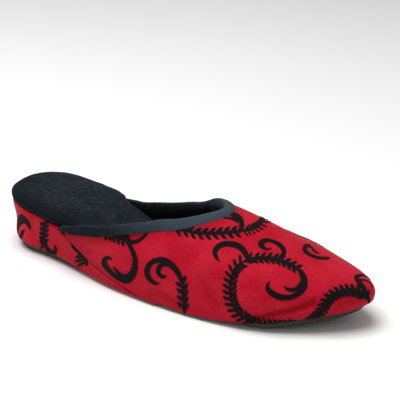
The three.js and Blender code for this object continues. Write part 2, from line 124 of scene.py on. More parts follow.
def trueSizeUv(piece):
    # scales the cloth's chart to the size it is cut to, in metres
    mesh = piece.data
    uv = np.empty(len(mesh.loops) * 2)
    mesh.uv_layers.active.data.foreach_get("uv", uv)
    uv = uv.reshape(-1, 2)
    flat = 0.0
    for face in mesh.polygons:
        ring = uv[face.loop_start:face.loop_start + face.loop_total]
        x, y = ring[:, 0], ring[:, 1]
        flat += abs(np.dot(x, np.roll(y, -1)) - np.dot(y, np.roll(x, -1))) / 2
    real = sum(face.area for face in mesh.polygons)
    uv *= math.sqrt(real / flat)
    mesh.uv_layers.active.data.foreach_set("uv", uv.ravel())


def modify(piece, kind, **settings):
    pick(piece)
    modifier = piece.modifiers.new(kind.title(), kind)
    for name, value in settings.items():
        setattr(modifier, name, value)
    bpy.ops.object.modifier_apply(modifier=modifier.name)


def smoothed(piece):
    modify(piece, "SUBSURF", levels=meshPlan["levels"], render_levels=meshPlan["levels"])
    pick(piece)
    bpy.ops.object.shade_smooth_by_angle(angle=math.radians(meshPlan["smoothTo"]))


def pointsOf(piece):
    co = np.empty(len(piece.data.vertices) * 3)
    piece.data.vertices.foreach_get("co", co)
    return co.reshape(-1, 3)


def normalsOf(piece):
    n = np.empty(len(piece.data.vertices) * 3)
    piece.data.vertex_normals.foreach_get("vector", n)
    return n.reshape(-1, 3)


def movePoints(piece, co):
    piece.data.vertices.foreach_set("co", co.ravel())
    piece.data.update()


def treeOf(*pieces):
    points, faces = [], []
    for piece in pieces:
        start = len(points)
        points += [v.co.copy() for v in piece.data.vertices]
        faces += [[start + i for i in face.vertices] for face in piece.data.polygons]
    return BVHTree.FromPolygons(points, faces)


def farFrom(tree, co):
    return np.array([tree.find_nearest(p)[3] for p in co])


def eased(value, low, high):
    # from 0 at low to 1 at high, with soft ends
    t = np.clip((value - low) / (high - low), 0, 1)
    return t * t * (3 - 2 * t)


def distances(co, line):
    # distance of every point from a bent line
    best = np.full(len(co), 1e9)
    for a, b in zip(line[:-1], line[1:]):
        a, b = np.array(a), np.array(b)
        share = np.clip(((co - a) @ (b - a)) / np.dot(b - a, b - a), 0, 1)
        best = np.minimum(best, np.linalg.norm(co - a - share[:, None] * (b - a), axis=1))
    return best


foldShadeDepth = 0.0012   # a trough this deep gets the full painted shade


def creased(piece, folds, allowed):
    # soft troughs and ridges: each fold has a line, a depth and a breadth in millimetres, and a
    # ridge's depth is negative
    co, out = pointsOf(piece), normalsOf(piece)
    depth = np.zeros(len(co))
    for fold in folds:
        line = [[v / 1000 for v in p] for p in fold["line"]]
        depth += fold["depth"] / 1000 * np.exp(-(distances(co, line) / (fold["breadth"] / 1000)) ** 2)
    depth *= allowed
    co -= out * depth[:, None]
    movePoints(piece, co)
    # the trough's depth also sets how much painted shade the cloth gets there
    marked(piece, "foldNear", np.clip(depth / foldShadeDepth, 0, 1))


def marked(piece, name, values):
    # keeps a number for each point, for the cloth's colour
    layer = piece.data.attributes.new(name, "FLOAT", "POINT")
    layer.data.foreach_set("value", values.astype(np.float32))


def fading(distance, reach):
    return np.exp(-((distance / reach) ** 2))


def slabAt(co, x, half):
    # the points that lie within half of a place along the shoe
    return co[np.abs(co[:, 0] - x) < half]


def between(value, rise, fall):
    # 1 between two places, easing in over the first pair and out over the second
    return eased(value, *rise) * (1 - eased(value, *fall))


def napped(piece, size, height):
    # a fine uneven pile
    nap = bpy.data.textures.new(piece.name + "_nap", "CLOUDS")
    nap.noise_scale = size
    nap.noise_depth = 2
    modify(piece, "DISPLACE", texture=nap, texture_coords="LOCAL", strength=height, mid_level=0.5)


# helpers for materials


class Wire:
    # a socket that takes part in sums: 1 - mask adds a Math node
    def __init__(self, finish, socket):
        self.finish = finish
        self.socket = socket

    def math(self, operation, *values):
        return self.finish.node("ShaderNodeMath", {"operation": operation}, dict(enumerate(values)))

    def __add__(self, other):
        return self.math("ADD", self, other)

    def __mul__(self, other):
        return self.math("MULTIPLY", self, other)

    def __rsub__(self, other):
        return self.math("SUBTRACT", other, self)

    __radd__ = __add__
    __rmul__ = __mul__


class Finish:
    # one material, with a Principled shader whose fixed numbers are given by name
    def __init__(self, name, **fixed):
        self.material = bpy.data.materials.new(name)
        self.material.use_nodes = True
        self.tree = self.material.node_tree
        self.shader = self.tree.nodes["Principled BSDF"]
        for socket, value in fixed.items():
            self.put(self.shader.inputs[socket.replace("_", " ")], value)

    def put(self, socket, value):
        if isinstance(value, Wire):
            self.tree.links.new(value.socket, socket)
        elif isinstance(value, tuple) and socket.type == "RGBA":
            socket.default_value = (*value, 1.0)
        else:
            socket.default_value = value

    def node(self, kind, settings=None, inputs=None, out=0):
        node = self.tree.nodes.new(kind)
        for name, value in (settings or {}).items():
            setattr(node, name, value)
        for name, value in (inputs or {}).items():
            self.put(node.inputs[name], value)
        return Wire(self, node.outputs[out])

    def axes(self, where):
        split = self.node("ShaderNodeSeparateXYZ", None, {0: where}).socket.node
        return [Wire(self, socket) for socket in split.outputs]

    def place(self, kind="Object"):
        return self.node("ShaderNodeTexCoord", out=kind)

    def stretched(self, where, scale, turn=0.0):
        return self.node(
            "ShaderNodeMapping", None, {"Vector": where, "Scale": scale, "Rotation": (0, 0, turn)}
        )

    def noise(self, where, size, detail=2.0, roughness=0.5):
        # size is the breadth of its blotches, in metres
        return self.node(
            "ShaderNodeTexNoise", None,
            {"Vector": where, "Scale": 1 / size, "Detail": detail, "Roughness": roughness},
        )

    def step(self, value, low, high):
        return self.node(
            "ShaderNodeMapRange", {"interpolation_type": "SMOOTHSTEP"},
            {"Value": value, "From Min": low, "From Max": high},
        )

    def mix(self, share, one, other):
        return self.node("ShaderNodeMix", {"data_type": "RGBA"}, {0: share, 6: one, 7: other}, 2)

    def attribute(self, name):
        return self.node("ShaderNodeAttribute", {"attribute_name": name}, out="Fac")

    def relief(self, height, depth):
        # depth is the height that 1 stands for, in metres
        self.put(
            self.shader.inputs["Normal"],
            self.node("ShaderNodeBump", None, {"Height": height, "Strength": 1.0, "Distance": depth}),
        )

    def colour(self, wire):
        self.put(self.shader.inputs["Base Color"], wire)

    def rough(self, wire):
        self.put(self.shader.inputs["Roughness"], wire)


def woven(finish, where, pitch):
    # threads over and under, from 0 to 1
    x, y, _ = finish.axes(where)
    along = x.math("SINE", x * (2 * math.pi / pitch))
    across = y.math("SINE", y * (2 * math.pi / pitch))
    return along * across * 0.5 + 0.5


clothLook = {
    "red": (0.43, 0.0045, 0.018),
    "deep": (0.27, 0.0015, 0.006),
    "faded": (0.52, 0.012, 0.032),
    "soleShadeRed": (0.2, 0.006, 0.012),   # painted shade near the sole
    "pitch": 0.00055,                # from thread to thread
    "sheen": 0.03,
    # painted shade along the seams
    "seamShade": 0.55,
    # painted shade in the creases
    "foldShade": 0.75,
    # painted shade near the sole, in patches
    "footShade": 0.6,
}


def redCloth():
    look = clothLook
    cloth = Finish(
        "red_cloth", Roughness=0.52, Specular_IOR_Level=0.08, Specular_Tint=(1.0, 0.4, 0.5),
        Sheen_Weight=look["sheen"], Sheen_Roughness=0.4, Sheen_Tint=(1.0, 0.35, 0.45),
    )
    where, flat = cloth.place(), cloth.place("UV")
    threads = woven(cloth, flat, look["pitch"])
    slubs = cloth.noise(cloth.stretched(flat, (1.0, 5.0, 1.0)), 0.0045, 3)
    specks = cloth.noise(where, 0.0015, 3, 0.65)
    blotches = cloth.noise(where, 0.022, 3, 0.55)
    seam = cloth.attribute("seamNear")
    foot = cloth.attribute("footNear")
    base = cloth.mix(cloth.step(blotches, 0.35, 0.7), look["red"], look["faded"])
    base = cloth.mix(cloth.step(slubs, 0.45, 0.75) * 0.35, base, look["deep"])
    base = cloth.mix(cloth.step(specks, 0.5, 0.7) * 0.6, base, look["faded"])
    base = cloth.mix((1 - cloth.step(specks, 0.3, 0.46)) * 0.4, base, look["deep"])
    # painted shade along the seams
    base = cloth.mix(seam * look["seamShade"], base, look["deep"])
    # painted shade in the creases
    base = cloth.mix(cloth.attribute("foldNear") * look["foldShade"], base, look["deep"])
    # painted shade near the sole, in patches
    base = cloth.mix(foot * cloth.step(blotches, 0.3, 0.62) * look["footShade"], base, look["soleShadeRed"])
    cloth.colour(base)
    cloth.rough(0.46 + cloth.noise(where, 0.006, 2) * 0.18)
    puckers = cloth.noise(cloth.stretched(where, (1.0, 0.6, 0.35)), 0.0045, 1)
    cloth.relief(
        threads * 0.11 + specks * 0.3 + slubs * 0.1 + blotches * 0.5 + puckers * (seam + foot) * 1.3,
        0.0006,
    )
    return cloth.material


# dark and lit are the pile laid from and towards the light; worn is how much paler painted light makes
# it at the throat and along its crest, fuzz and lint how thickly it is flecked
velourLooks = {
    "footbed_velour": {
        "dark": (0.0055, 0.008, 0.0115), "lit": (0.013, 0.018, 0.0245),
        "worn": 0, "fuzz": 0.4, "lint": 0.2,
    },
    "binding_velour": {
        "dark": (0.0016, 0.0023, 0.0034), "lit": (0.0055, 0.007, 0.0092),
        "worn": 0.9, "fuzz": 0.3, "lint": 0.5,
    },
    "dark_lining": {
        "dark": (0.0025, 0.003, 0.004), "lit": (0.006, 0.007, 0.009),
        "worn": 0, "fuzz": 0, "lint": 0.1,
    },
}
velourShared = {
    "fuzz": (0.06, 0.075, 0.095),
    "lint": (0.4, 0.4, 0.38),
    "sheen": 0.055,
    "throat": (-0.045, 0.03),   # where along the shoe the painted light at the throat sets in
    "throatPaler": 10.5,        # painted light at the throat, times the lit colour
    # painted highlight along the binding's top edge, times the lit colour
    "crestLitTimes": 9.0,
}


def times(values, much):
    return tuple(much * v for v in values)


def velour(name):
    # a short brushed pile
    look = velourLooks[name]
    dark, lit = look["dark"], look["lit"]
    pile = Finish(
        name, Roughness=0.94, Specular_IOR_Level=0.08, Sheen_Weight=velourShared["sheen"],
        Sheen_Roughness=0.45, Sheen_Tint=(0.55, 0.65, 0.85),
    )
    where = pile.place()
    brushed = pile.noise(pile.stretched(where, (0.45, 1.0, 1.0), 0.35), 0.007, 4, 0.65)
    tufts = pile.noise(where, 0.0006, 2, 0.6)
    fine = pile.noise(where, 0.0022, 3, 0.6)
    base = pile.mix(pile.step(brushed, 0.3, 0.72), dark, lit)
    base = pile.mix(pile.step(fine, 0.42, 0.72) * 0.35, base, lit)
    base = pile.mix(pile.step(tufts, 0.5, 0.75) * 0.6, base, lit)
    # painted light: the binding is paler towards the throat
    if look["worn"]:
        worn = pile.step(pile.axes(where)[0], *velourShared["throat"]) * (0.55 + tufts * 0.5)
        base = pile.mix(worn * look["worn"], base, times(lit, velourShared["throatPaler"]))
    fuzz = pile.noise(pile.stretched(where, (0.4, 1.0, 1.0), 0.7), 0.0013, 3, 0.7)
    base = pile.mix(pile.step(fuzz, 0.5, 0.72) * look["fuzz"], base, velourShared["fuzz"])
    flecks = pile.node(
        "ShaderNodeTexVoronoi", None,
        {"Vector": pile.stretched(where, (1.0, 0.45, 0.8), 0.9), "Scale": 95.0}, "Distance",
    )
    picked = pile.step(pile.noise(where, 0.03, 1), 0.55, 0.6)
    picked = picked * (1 - pile.step(flecks, 0.03, 0.05)) * look["lint"]
    base = pile.mix(picked, base, velourShared["lint"])
    # painted highlight along the binding's top edge, where it faces up
    if look["worn"]:
        crest = pile.attribute("crest") * (0.2 + tufts * 0.5)
        base = pile.mix(crest, base, times(lit, velourShared["crestLitTimes"]))
    # painted shade where the shaded mark is set
    base = pile.mix(pile.attribute("shaded") * 0.85, base, times(dark, 0.5))
    pile.colour(base)
    pile.rough(0.88 + tufts * 0.12)
    pile.relief(tufts * 0.6 + fine * 0.9 + brushed * 0.5, 0.0007)
    return pile.material


flockLook = {
    "dark": (0.004, 0.0028, 0.003),
    "lit": (0.012, 0.0095, 0.01),
    "worn": (0.035, 0.02, 0.022),
    "sheen": 0.03,
}


def flocking():
    flock = Finish(
        "black_flock", Roughness=0.95, Specular_IOR_Level=0.1, Sheen_Weight=flockLook["sheen"],
        Sheen_Roughness=0.5, Sheen_Tint=(0.6, 0.65, 0.75),
    )
    where = flock.place()
    fibres = flock.noise(where, 0.0004, 2, 0.7)
    worn = flock.noise(where, 0.009, 3, 0.6)
    base = flock.mix(flock.step(fibres, 0.4, 0.75), flockLook["dark"], flockLook["lit"])
    base = flock.mix(flock.step(worn, 0.62, 0.8) * 0.35, base, flockLook["worn"])
    flock.colour(base)
    flock.rough(0.9 + fibres * 0.1)
    flock.relief(fibres, 0.0003)
    return flock.material


rubberLook = {
    "dark": (0.019, 0.0185, 0.0135),
    "dusty": (0.036, 0.035, 0.026),
    "scuffed": (0.075, 0.073, 0.064),
    "rib": 0.0016,   # breadth of a rib of the tread
}


def rubber():
    look = rubberLook
    sole = Finish("black_rubber", Roughness=0.6, Specular_IOR_Level=0.4)
    where = sole.place()
    grain = sole.noise(where, 0.0009, 3, 0.6)
    scuffs = sole.noise(sole.stretched(where, (0.35, 1.0, 2.5)), 0.006, 4, 0.65)
    dust = sole.noise(where, 0.02, 3)
    base = sole.mix(sole.step(dust, 0.35, 0.7), look["dark"], look["dusty"])
    base = sole.mix(sole.step(scuffs, 0.55, 0.72) * 0.5, base, look["scuffed"])
    sole.colour(base)
    sole.rough(0.5 + scuffs * 0.35)
    # a fine ribbed tread on the face that meets the floor
    x, y, _ = sole.axes(where)
    ribs = x.math("PINGPONG", x + y * 0.6, look["rib"]) * (0.96 / look["rib"])
    upward = sole.axes(sole.node("ShaderNodeNewGeometry", out="Normal"))[2]
    under = sole.step(upward * -1.0, 0.7, 0.9)
    sole.relief(grain * 0.12 + scuffs * 0.15 + ribs * under, 0.0006)
    return sole.material


redMaterial = redCloth()
footbedMaterial = velour("footbed_velour")
bindingMaterial = velour("binding_velour")
liningMaterial = velour("dark_lining")
flockMaterial = flocking()
rubberMaterial = rubber()
print("stage: materials made")

# the upper: red cloth over a padded wall, with a dark lining

vampPlan = {
    # a line through the shoe's hollow: what faces away from it is the outer face
    "core": {
        "along": (-0.062, 0.088), "y": 0.003, "z": 0.017, "toeIn": 0.008, "toeInAlong": (0.02, 0.1),
    },
    # how far the cloth comes down over the sole's side, where along the shoe it sets in and ends,
    # and over what distance from the sole it fades
    "drawnUnder": {"down": 0.003, "rise": (-0.024, 0.012), "fall": (0.045, 0.095), "fade": (0.0008, 0.005)},
    # how far the padding rounds the tip out, from where along the shoe and from what height
    "toeFuller": {"out": 0.0014, "along": (0.092, 0.118), "height": (0.016, 0.0215)},
    # creases set in over these distances from the binding and from the sole and wedge
    "flatBy": {"binding": (0.001, 0.008), "foot": (0.0005, 0.004)},
    "seamReach": 0.0035,     # how far from the binding the cloth puckers and gets painted shade
    "footReach": 0.005,      # and from the sole
    # soft troughs, and ridges beside them: points in millimetres, on the outside of the shoe
    "folds": [
        {
            "line": [(73, -35, 9), (79, -33, 11), (85, -29, 14), (91, -25, 16), (96, -22, 18),
                     (102, -17, 21)],
            "depth": 1.7, "breadth": 2.4,
        },
        {"line": [(78, -32, 7), (86, -27, 9), (94, -22, 12), (101, -18, 16)], "depth": -0.9, "breadth": 2.8},
        {"line": [(66, -38, 20), (77, -34, 22), (88, -28, 25)], "depth": -0.6, "breadth": 5.0},
        {"line": [(40, -39, 27), (43, -40, 23), (46, -40, 18), (50, -40, 14)], "depth": 0.8, "breadth": 4.2},
        {"line": [(6, -42, 9), (13, -42, 11), (20, -42, 9), (25, -42, 7)], "depth": 0.7, "breadth": 3.2},
        {"line": [(-50, -36, 22), (-38, -38, 22), (-30, -39, 18)], "depth": 0.35, "breadth": 4.0},
        {"line": [(27, -29, 45), (37, -33, 39), (44, -36, 33)], "depth": -0.7, "breadth": 6.0},
        {"line": [(112, -9, 23), (118, -3, 22), (122, 3, 21)], "depth": 0.3, "breadth": 2.6},
        {"line": [(60, 39, 12), (72, 38, 13), (84, 35, 15), (94, 30, 18)], "depth": 0.9, "breadth": 4.0},
        {"line": [(14, 35, 24), (19, 38, 18), (25, 39, 12)], "depth": 0.5, "breadth": 4.0},
        {"line": [(-34, 30, 24), (-24, 30, 20), (-14, 31, 15)], "depth": 0.35, "breadth": 3.6},
    ],
}

vamp = copyOf("upper", "vamp", sharp=48, hold=0.85)
smoothed(vamp)
co = pointsOf(vamp)
out = normalsOf(vamp)
core = vampPlan["core"]
spine = np.empty_like(co)
spine[:, 0] = np.clip(co[:, 0], *core["along"])
spine[:, 1] = core["y"] + core["toeIn"] * eased(co[:, 0], *core["toeInAlong"])
spine[:, 2] = core["z"]
outside = np.einsum("ij,ij->i", out, co - spine) > 0
bindingTree = treeOf(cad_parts["topline_binding"])
footTree = treeOf(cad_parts["outsole"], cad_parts["wedge"])
toBinding = farFrom(bindingTree, co)
toFoot = farFrom(footTree, co)
flatBy = vampPlan["flatBy"]
free = outside * eased(toBinding, *flatBy["binding"]) * eased(toFoot, *flatBy["foot"])
creased(vamp, vampPlan["folds"], free)
co = pointsOf(vamp)
under = vampPlan["drawnUnder"]
low = outside * (1 - eased(toFoot, *under["fade"])) * between(co[:, 0], under["rise"], under["fall"])
co[:, 2] -= under["down"] * low
fuller = vampPlan["toeFuller"]
tip = outside * eased(co[:, 0], *fuller["along"]) * eased(co[:, 2], *fuller["height"])
co += out * (fuller["out"] * tip)[:, None]
movePoints(vamp, co)
# where the cloth puckers and gets painted shade, near the binding
marked(vamp, "seamNear", fading(toBinding, vampPlan["seamReach"]))
# and near the sole
marked(vamp, "footNear", fading(toFoot, vampPlan["footReach"]))
vamp.data.materials.append(redMaterial)
vamp.data.materials.append(liningMaterial)
for face in vamp.data.polygons:
    # cloth on the outer face, lining on the inner one
    face.material_index = 0 if outside[list(face.vertices)].mean() > 0.5 else 1
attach(vamp, "root")
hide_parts("upper")
print("stage: vamp covered,", len(vamp.data.polygons), "faces")

# the wedge: the same cloth drawn over the heel

heelRange = (0.085, 0.112)   # behind the middle of the shoe


def heelFuller(co, out, much):
    # rounds the padding out at the back of the heel, and less where it faces up or down
    level = out * np.array([1, 1, 0])
    level /= np.maximum(np.linalg.norm(level, axis=1), 0.3)[:, None]
    share = eased(-co[:, 0], *heelRange)
    return co + level * (much * share)[:, None]


wedgePlan = {
    "heelFuller": 0.0019,
    "halvedBy": (0.014, 0.028),   # the height over which that is halved
    # how far the cloth comes down over the sole's side, along where, below what height, and how far
    # from the wedge's middle
    "drawnUnder": {"down": 0.0014, "along": (-0.08, -0.03), "below": 0.0062, "beyond": 0.02, "middle": 0.001},
    "flatBy": (0.0008, 0.004),    # creases set in over this distance from a neighbour
    "seamReach": 0.003,      # how far from the footbed and the vamp the cloth puckers and gets painted shade
    "footReach": 0.005,      # and from the sole
    "folds": [
        {"line": [(-118, -20, 24), (-117, -21, 14), (-114, -23, 7)], "depth": 0.45, "breadth": 2.6},
        {"line": [(-96, -31, 27), (-94, -29, 16), (-90, -28, 7)], "depth": 0.35, "breadth": 3.4},
        {"line": [(-118, 18, 24), (-117, 19, 13), (-115, 20, 7)], "depth": 0.4, "breadth": 2.6},
        {"line": [(-80, 32, 28), (-66, 31, 19), (-52, 30, 12)], "depth": 0.4, "breadth": 3.2},
    ],
}

wedge = copyOf("wedge", "wedge_cover", sharp=48, hold=0.9)
smoothed(wedge)
co = pointsOf(wedge)
toTop = farFrom(treeOf(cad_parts["insole"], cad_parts["upper"]), co)
toSole = farFrom(treeOf(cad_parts["outsole"]), co)
flatBy = wedgePlan["flatBy"]
creased(wedge, wedgePlan["folds"], eased(toTop, *flatBy) * eased(toSole, *flatBy))
co = pointsOf(wedge)
lowered = 0.5 + 0.5 * (1 - eased(co[:, 2], *wedgePlan["halvedBy"]))
co = heelFuller(co, normalsOf(wedge), wedgePlan["heelFuller"] * lowered)
under = wedgePlan["drawnUnder"]
hem = (np.abs(co[:, 1] - under["middle"]) > under["beyond"]) * (co[:, 2] < under["below"])
co[:, 2] -= under["down"] * hem * eased(co[:, 0], *under["along"])
movePoints(wedge, co)
# where the cloth puckers and gets painted shade, near the footbed and the vamp
marked(wedge, "seamNear", fading(toTop, wedgePlan["seamReach"]))
# and near the sole
marked(wedge, "footNear", fading(toSole, wedgePlan["footReach"]))
wedge.data.materials.append(redMaterial)
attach(wedge, "root")
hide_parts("wedge")
print("stage: wedge covered")

# the padded insole

insolePlan = {
    "nap": 0.0016,
    "napHeight": 0.00022,
    # facing is how far a point's normal has to rise, from 0 on a wall to 1 on a flat top
    "hollow": {"depth": 0.0009, "at": (-0.088, 0.001), "reach": (0.034, 0.023), "facing": 0.4},
    "heelFuller": 0.001,
    # the top rounds down at the rim, up to a place along the shoe
    "rim": {"drop": 0.0008, "reach": 0.006, "until": (-0.06, -0.04), "facing": 0.3},
    # painted shade darkens the pile towards the outer rim
    "shade": {"reach": 0.011, "until": (-0.05, -0.03), "across": (-0.008, 0.016)},
    # the inner half stands over the outer one
    "crown": {"up": 0.0014, "until": (-0.05, -0.02), "across": (-0.012, 0.018), "facing": (0.0, 0.6)},
    # along the inner arch the padding swells out over the end of the binding
    "swell": {
        "rise": (-0.078, -0.066), "fall": (-0.046, -0.024), "out": 0.0052, "up": 0.0006,
        "across": (0.008, 0.026), "clear": (0.0004, 0.0016), "half": 0.003,
    },
}

footbed = copyOf("insole", "footbed", sharp=60, hold=0.5)
smoothed(footbed)
co = pointsOf(footbed)
out = normalsOf(footbed)
hollow = insolePlan["hollow"]   # where the heel rests
fromHeel = np.hypot(*((co[:, axis] - hollow["at"][axis]) / hollow["reach"][axis] for axis in (0, 1)))
co[:, 2] -= hollow["depth"] * fading(fromHeel, 1) * (out[:, 2] > hollow["facing"])
co = heelFuller(co, out, insolePlan["heelFuller"])
rim = insolePlan["rim"]
upright = np.flatnonzero(np.abs(out[:, 2]) < rim["facing"])
walls = KDTree(len(upright))
for i in upright:
    walls.insert((co[i, 0], co[i, 1], 0), i)
walls.balance()
toRim = np.array([walls.find((p[0], p[1], 0))[2] for p in co])
rounded = fading(toRim, rim["reach"]) * (1 - eased(co[:, 0], *rim["until"]))
co[:, 2] -= rim["drop"] * rounded * (out[:, 2] > rim["facing"])
crown = insolePlan["crown"]
crowned = eased(co[:, 1], *crown["across"]) * (1 - eased(co[:, 0], *crown["until"]))
co[:, 2] += crown["up"] * crowned * eased(out[:, 2], *crown["facing"])
edge = pointsOf(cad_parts["topline_binding"])
edge = edge[edge[:, 1] > 0]
swell = insolePlan["swell"]
reach = between(co[:, 0], swell["rise"], swell["fall"]) * eased(co[:, 1], *swell["across"])
for i in np.flatnonzero(reach):
    near = slabAt(edge, co[i, 0], swell["half"])
    top = near[:, 2].max() if len(near) else 0
    clear = eased(co[i, 2] - top, *swell["clear"])
    co[i, 1] += swell["out"] * reach[i] * clear
    co[i, 2] += swell["up"] * reach[i] * clear
movePoints(footbed, co)
# the mark for the painted shade towards the outer rim
shade = insolePlan["shade"]
outer = (1 - eased(co[:, 1], *shade["across"])) * (1 - eased(co[:, 0], *shade["until"]))
marked(footbed, "shaded", fading(toRim, shade["reach"]) * outer)
napped(footbed, insolePlan["nap"], insolePlan["napHeight"])
footbed.data.materials.append(footbedMaterial)
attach(footbed, "root")
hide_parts("insole")
print("stage: footbed padded")

# the velour binding

bindingPlan = {
    "nap": 0.0013,
    "napHeight": 0.0003,
    "half": 0.0025,    # of the length over which its height is measured
    "taper": 0.014,    # the length over which each end thins
    "thinned": 0.35,   # the share of its height that it loses there
    "thinsTo": 0.25,   # the height towards which it does so, from 0 at its hem to 1
    "drawnBack": 0.0052,
    "turnedIn": 0.0012,
    "worn": 0.0011,    # how much lower the throat lies, from a place along the shoe
    "wornAlong": (-0.03, 0.005),
    # behind the throat the outer side is turned over more narrowly
    "narrow": {"rise": (-0.084, -0.066), "fall": (-0.02, 0.012), "hemUp": 0.0016, "edgeDown": 0.0006},
    "crest": (0.9, 1.0),   # how far a normal rises where painted light makes the pile paler along the crest
    # painted shade darkens the pile where it faces the shoe's middle, and where it faces back at the throat
    "shade": {"middle": 0.002, "until": 0.012, "throatFrom": -0.01, "facing": (0.25, 0.75)},
}

edging = copyOf("topline_binding", "velour_binding", sharp=75, hold=0.5)
smoothed(edging)
co = pointsOf(edging)
for side in (-1, 1):
    # each end is drawn back over the corner of the vamp, and thins until it lies along the
    # footbed's rim
    arm = co[:, 1] * side > 0
    end = co[arm, 0].min()
    before = co.copy()
    for i in np.flatnonzero(arm * (co[:, 0] < end + bindingPlan["taper"])):
        near = slabAt(before[arm], before[i, 0], bindingPlan["half"])
        late = 1 - eased(before[i, 0], end, end + bindingPlan["taper"])
        foot = near[:, 2].min() + bindingPlan["thinsTo"] * (near[:, 2].max() - near[:, 2].min())
        co[i, 2] = foot + (before[i, 2] - foot) * (1 - bindingPlan["thinned"] * late)
        co[i, 0] -= bindingPlan["drawnBack"] * late ** 1.5
        co[i, 1] -= side * bindingPlan["turnedIn"] * late ** 2
before = co.copy()
narrow = bindingPlan["narrow"]
share = between(before[:, 0], narrow["rise"], narrow["fall"]) * (before[:, 1] < 0)
for i in np.flatnonzero(share > 0):
    near = slabAt(before[before[:, 1] < 0], before[i, 0], bindingPlan["half"])[:, 2]
    height = (before[i, 2] - near.min()) / max(near.max() - near.min(), 0.0001)
    co[i, 2] += share[i] * (narrow["hemUp"] * (1 - height) - narrow["edgeDown"] * height)
co[:, 2] -= bindingPlan["worn"] * eased(co[:, 0], *bindingPlan["wornAlong"])
movePoints(edging, co)
out = normalsOf(edging)
shade = bindingPlan["shade"]
inward = -out[:, 1] * np.sign(co[:, 1] - shade["middle"]) * (co[:, 0] < shade["until"])
backward = -out[:, 0] * (co[:, 0] > shade["throatFrom"])
# painted highlight where the binding faces up
marked(edging, "crest", eased(out[:, 2], *bindingPlan["crest"]))
# painted shade on the faces turned inwards, and back at the throat
marked(edging, "shaded", eased(np.maximum(inward, backward), *shade["facing"]))
napped(edging, bindingPlan["nap"], bindingPlan["napHeight"])
edging.data.materials.append(bindingMaterial)
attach(edging, "root")
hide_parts("topline_binding")
print("stage: binding made")

# the rubber sole

solePlan = {
    "heelFuller": 0.0017,
    "toeThicker": 0.0028,   # how much deeper the sole shows under the raised toe
    "toeRise": (0.06, 0.084),
    "toeFall": (0.107, 0.126),
    "half": 0.003,          # of the length over which its thickness is measured
    "flat": 0.95,           # a face whose normal rises or falls more than this isn't rounded out
    "tread": 0.0003,        # what lies lower stays
    "lowest": 0.0002,
}

sole = copyOf("outsole", "rubber_sole", sharp=30, hold=0.7)
smoothed(sole)
co = pointsOf(sole)
out = normalsOf(sole)
co = heelFuller(co, out, solePlan["heelFuller"] * (np.abs(out[:, 2]) < solePlan["flat"]))
deeper = solePlan["toeThicker"] * between(co[:, 0], solePlan["toeRise"], solePlan["toeFall"])
for i in np.flatnonzero((deeper > 0) * (co[:, 2] > solePlan["tread"])):
    near = slabAt(co, co[i, 0], solePlan["half"])[:, 2]
    share = (near.max() - co[i, 2]) / max(near.max() - near.min(), 0.0001)
    deeper[i] *= min(max(share, 0), 1)
lowered = np.maximum(co[:, 2] - deeper, np.minimum(co[:, 2], solePlan["lowest"]))
co[:, 2] = np.where(deeper > 0, lowered, co[:, 2])
movePoints(sole, co)
sole.data.materials.append(rubberMaterial)
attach(sole, "root")
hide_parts("outsole")
print("stage: sole made")

# the flock: scrolls and leafy vines, laid on the cloth

